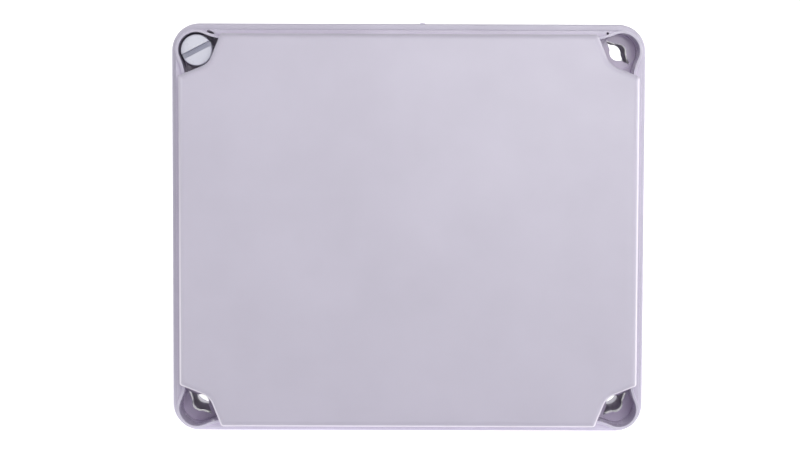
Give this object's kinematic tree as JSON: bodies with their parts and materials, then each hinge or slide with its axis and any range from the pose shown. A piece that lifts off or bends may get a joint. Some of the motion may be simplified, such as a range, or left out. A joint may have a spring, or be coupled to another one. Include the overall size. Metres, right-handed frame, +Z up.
{
  "type": "electrical junction box",
  "caption": "Surface-mounted rectangular plastic junction box with a raised lid, eye-shaped corner pockets for quarter-turn screws, and screw terminals on a rail inside.",
  "frame": {"origin": "centre of the flat back face", "axes": "+Z up, +X to the right seen from the front, the lid faces -Y, +Y points into the wall"},
  "size_m": [0.17, 0.07, 0.1474],
  "materials": {
    "enclosure_plastic": "fine-grained moulded light lilac grey",
    "gasket_rubber": "soft black foam rubber",
    "lid_screw_plastic": "smooth moulded pale bluish grey",
    "rail_steel": "bright zinc-plated strip",
    "plated_screw_steel": "nickel-plated steel",
    "end_stop_plastic": "moulded dark grey",
    "terminal_grey": "moulded grey polyamide",
    "terminal_blue": "moulded blue polyamide",
    "terminal_green": "moulded green polyamide with a yellow stripe",
    "bar_copper": "plain copper alloy"
  },
  "bodies": {
    "base_unit": {"base": "enclosure_plastic", "din_rail": "rail_steel", "rail_screws": "plated_screw_steel", "end_stops": "end_stop_plastic", "spare_lid_screws": "lid_screw_plastic", "line_terminal_housing": "terminal_grey", "line_current_bar": "bar_copper", "neutral_terminal_housing": "terminal_blue", "neutral_current_bar": "bar_copper", "earth_terminal_housing": "terminal_green", "earth_current_bar": "bar_copper"},
    "lid_unit": {"lid": "enclosure_plastic", "lid_gasket": "gasket_rubber"},
    "lid_screw_unit": {"lid_screw": "lid_screw_plastic"},
    "line_upper_screw_unit": {"line_upper_clamp_screw": "plated_screw_steel"},
    "line_upper_cage_unit": {"line_upper_clamp_cage": "plated_screw_steel"},
    "line_lower_screw_unit": {"line_lower_clamp_screw": "plated_screw_steel"},
    "line_lower_cage_unit": {"line_lower_clamp_cage": "plated_screw_steel"},
    "neutral_upper_screw_unit": {"neutral_upper_clamp_screw": "plated_screw_steel"},
    "neutral_upper_cage_unit": {"neutral_upper_clamp_cage": "plated_screw_steel"},
    "neutral_lower_screw_unit": {"neutral_lower_clamp_screw": "plated_screw_steel"},
    "neutral_lower_cage_unit": {"neutral_lower_clamp_cage": "plated_screw_steel"},
    "earth_upper_screw_unit": {"earth_upper_clamp_screw": "plated_screw_steel"},
    "earth_upper_cage_unit": {"earth_upper_clamp_cage": "plated_screw_steel"},
    "earth_lower_screw_unit": {"earth_lower_clamp_screw": "plated_screw_steel"},
    "earth_lower_cage_unit": {"earth_lower_clamp_cage": "plated_screw_steel"}
  },
  "joints": [
    {"name": "lid_lift", "type": "slide", "parent": "base_unit", "child": "lid_unit", "axis": [0, -1, 0], "range_m": [0, 0.06]},
    {"name": "lid_screw_turn", "type": "hinge", "parent": "lid_unit", "child": "lid_screw_unit", "pos_m": [-0.07515, -0.05, 0.06365], "axis": [0, 1, 0], "range_deg": [0, 90]},
    {"name": "line_upper_cage_rise", "type": "slide", "parent": "base_unit", "child": "line_upper_cage_unit", "axis": [0, -1, 0], "range_m": [0, 0.0025]},
    {"name": "line_upper_screw_turn", "type": "hinge", "parent": "base_unit", "child": "line_upper_screw_unit", "pos_m": [-0.0062, -0.041, 0.0125], "axis": [0, 1, 0], "range_deg": [0, 1800]},
    {"name": "line_lower_cage_rise", "type": "slide", "parent": "base_unit", "child": "line_lower_cage_unit", "axis": [0, -1, 0], "range_m": [0, 0.0025]},
    {"name": "line_lower_screw_turn", "type": "hinge", "parent": "base_unit", "child": "line_lower_screw_unit", "pos_m": [-0.0062, -0.041, -0.0125], "axis": [0, 1, 0], "range_deg": [0, 1800]},
    {"name": "neutral_upper_cage_rise", "type": "slide", "parent": "base_unit", "child": "neutral_upper_cage_unit", "axis": [0, -1, 0], "range_m": [0, 0.0025]},
    {"name": "neutral_upper_screw_turn", "type": "hinge", "parent": "base_unit", "child": "neutral_upper_screw_unit", "pos_m": [0, -0.041, 0.0125], "axis": [0, 1, 0], "range_deg": [0, 1800]},
    {"name": "neutral_lower_cage_rise", "type": "slide", "parent": "base_unit", "child": "neutral_lower_cage_unit", "axis": [0, -1, 0], "range_m": [0, 0.0025]},
    {"name": "neutral_lower_screw_turn", "type": "hinge", "parent": "base_unit", "child": "neutral_lower_screw_unit", "pos_m": [0, -0.041, -0.0125], "axis": [0, 1, 0], "range_deg": [0, 1800]},
    {"name": "earth_upper_cage_rise", "type": "slide", "parent": "base_unit", "child": "earth_upper_cage_unit", "axis": [0, -1, 0], "range_m": [0, 0.0025]},
    {"name": "earth_upper_screw_turn", "type": "hinge", "parent": "base_unit", "child": "earth_upper_screw_unit", "pos_m": [0.0062, -0.041, 0.0125], "axis": [0, 1, 0], "range_deg": [0, 1800]},
    {"name": "earth_lower_cage_rise", "type": "slide", "parent": "base_unit", "child": "earth_lower_cage_unit", "axis": [0, -1, 0], "range_m": [0, 0.0025]},
    {"name": "earth_lower_screw_turn", "type": "hinge", "parent": "base_unit", "child": "earth_lower_screw_unit", "pos_m": [0.0062, -0.041, -0.0125], "axis": [0, 1, 0], "range_deg": [0, 1800]}
  ],
  "couplings": [
    {"joint": "line_upper_screw_turn", "follows": "line_upper_cage_rise", "rad_per_m": 12566},
    {"joint": "line_lower_screw_turn", "follows": "line_lower_cage_rise", "rad_per_m": 12566},
    {"joint": "neutral_upper_screw_turn", "follows": "neutral_upper_cage_rise", "rad_per_m": 12566},
    {"joint": "neutral_lower_screw_turn", "follows": "neutral_lower_cage_rise", "rad_per_m": 12566},
    {"joint": "earth_upper_screw_turn", "follows": "earth_upper_cage_rise", "rad_per_m": 12566},
    {"joint": "earth_lower_screw_turn", "follows": "earth_lower_cage_rise", "rad_per_m": 12566}
  ]
}
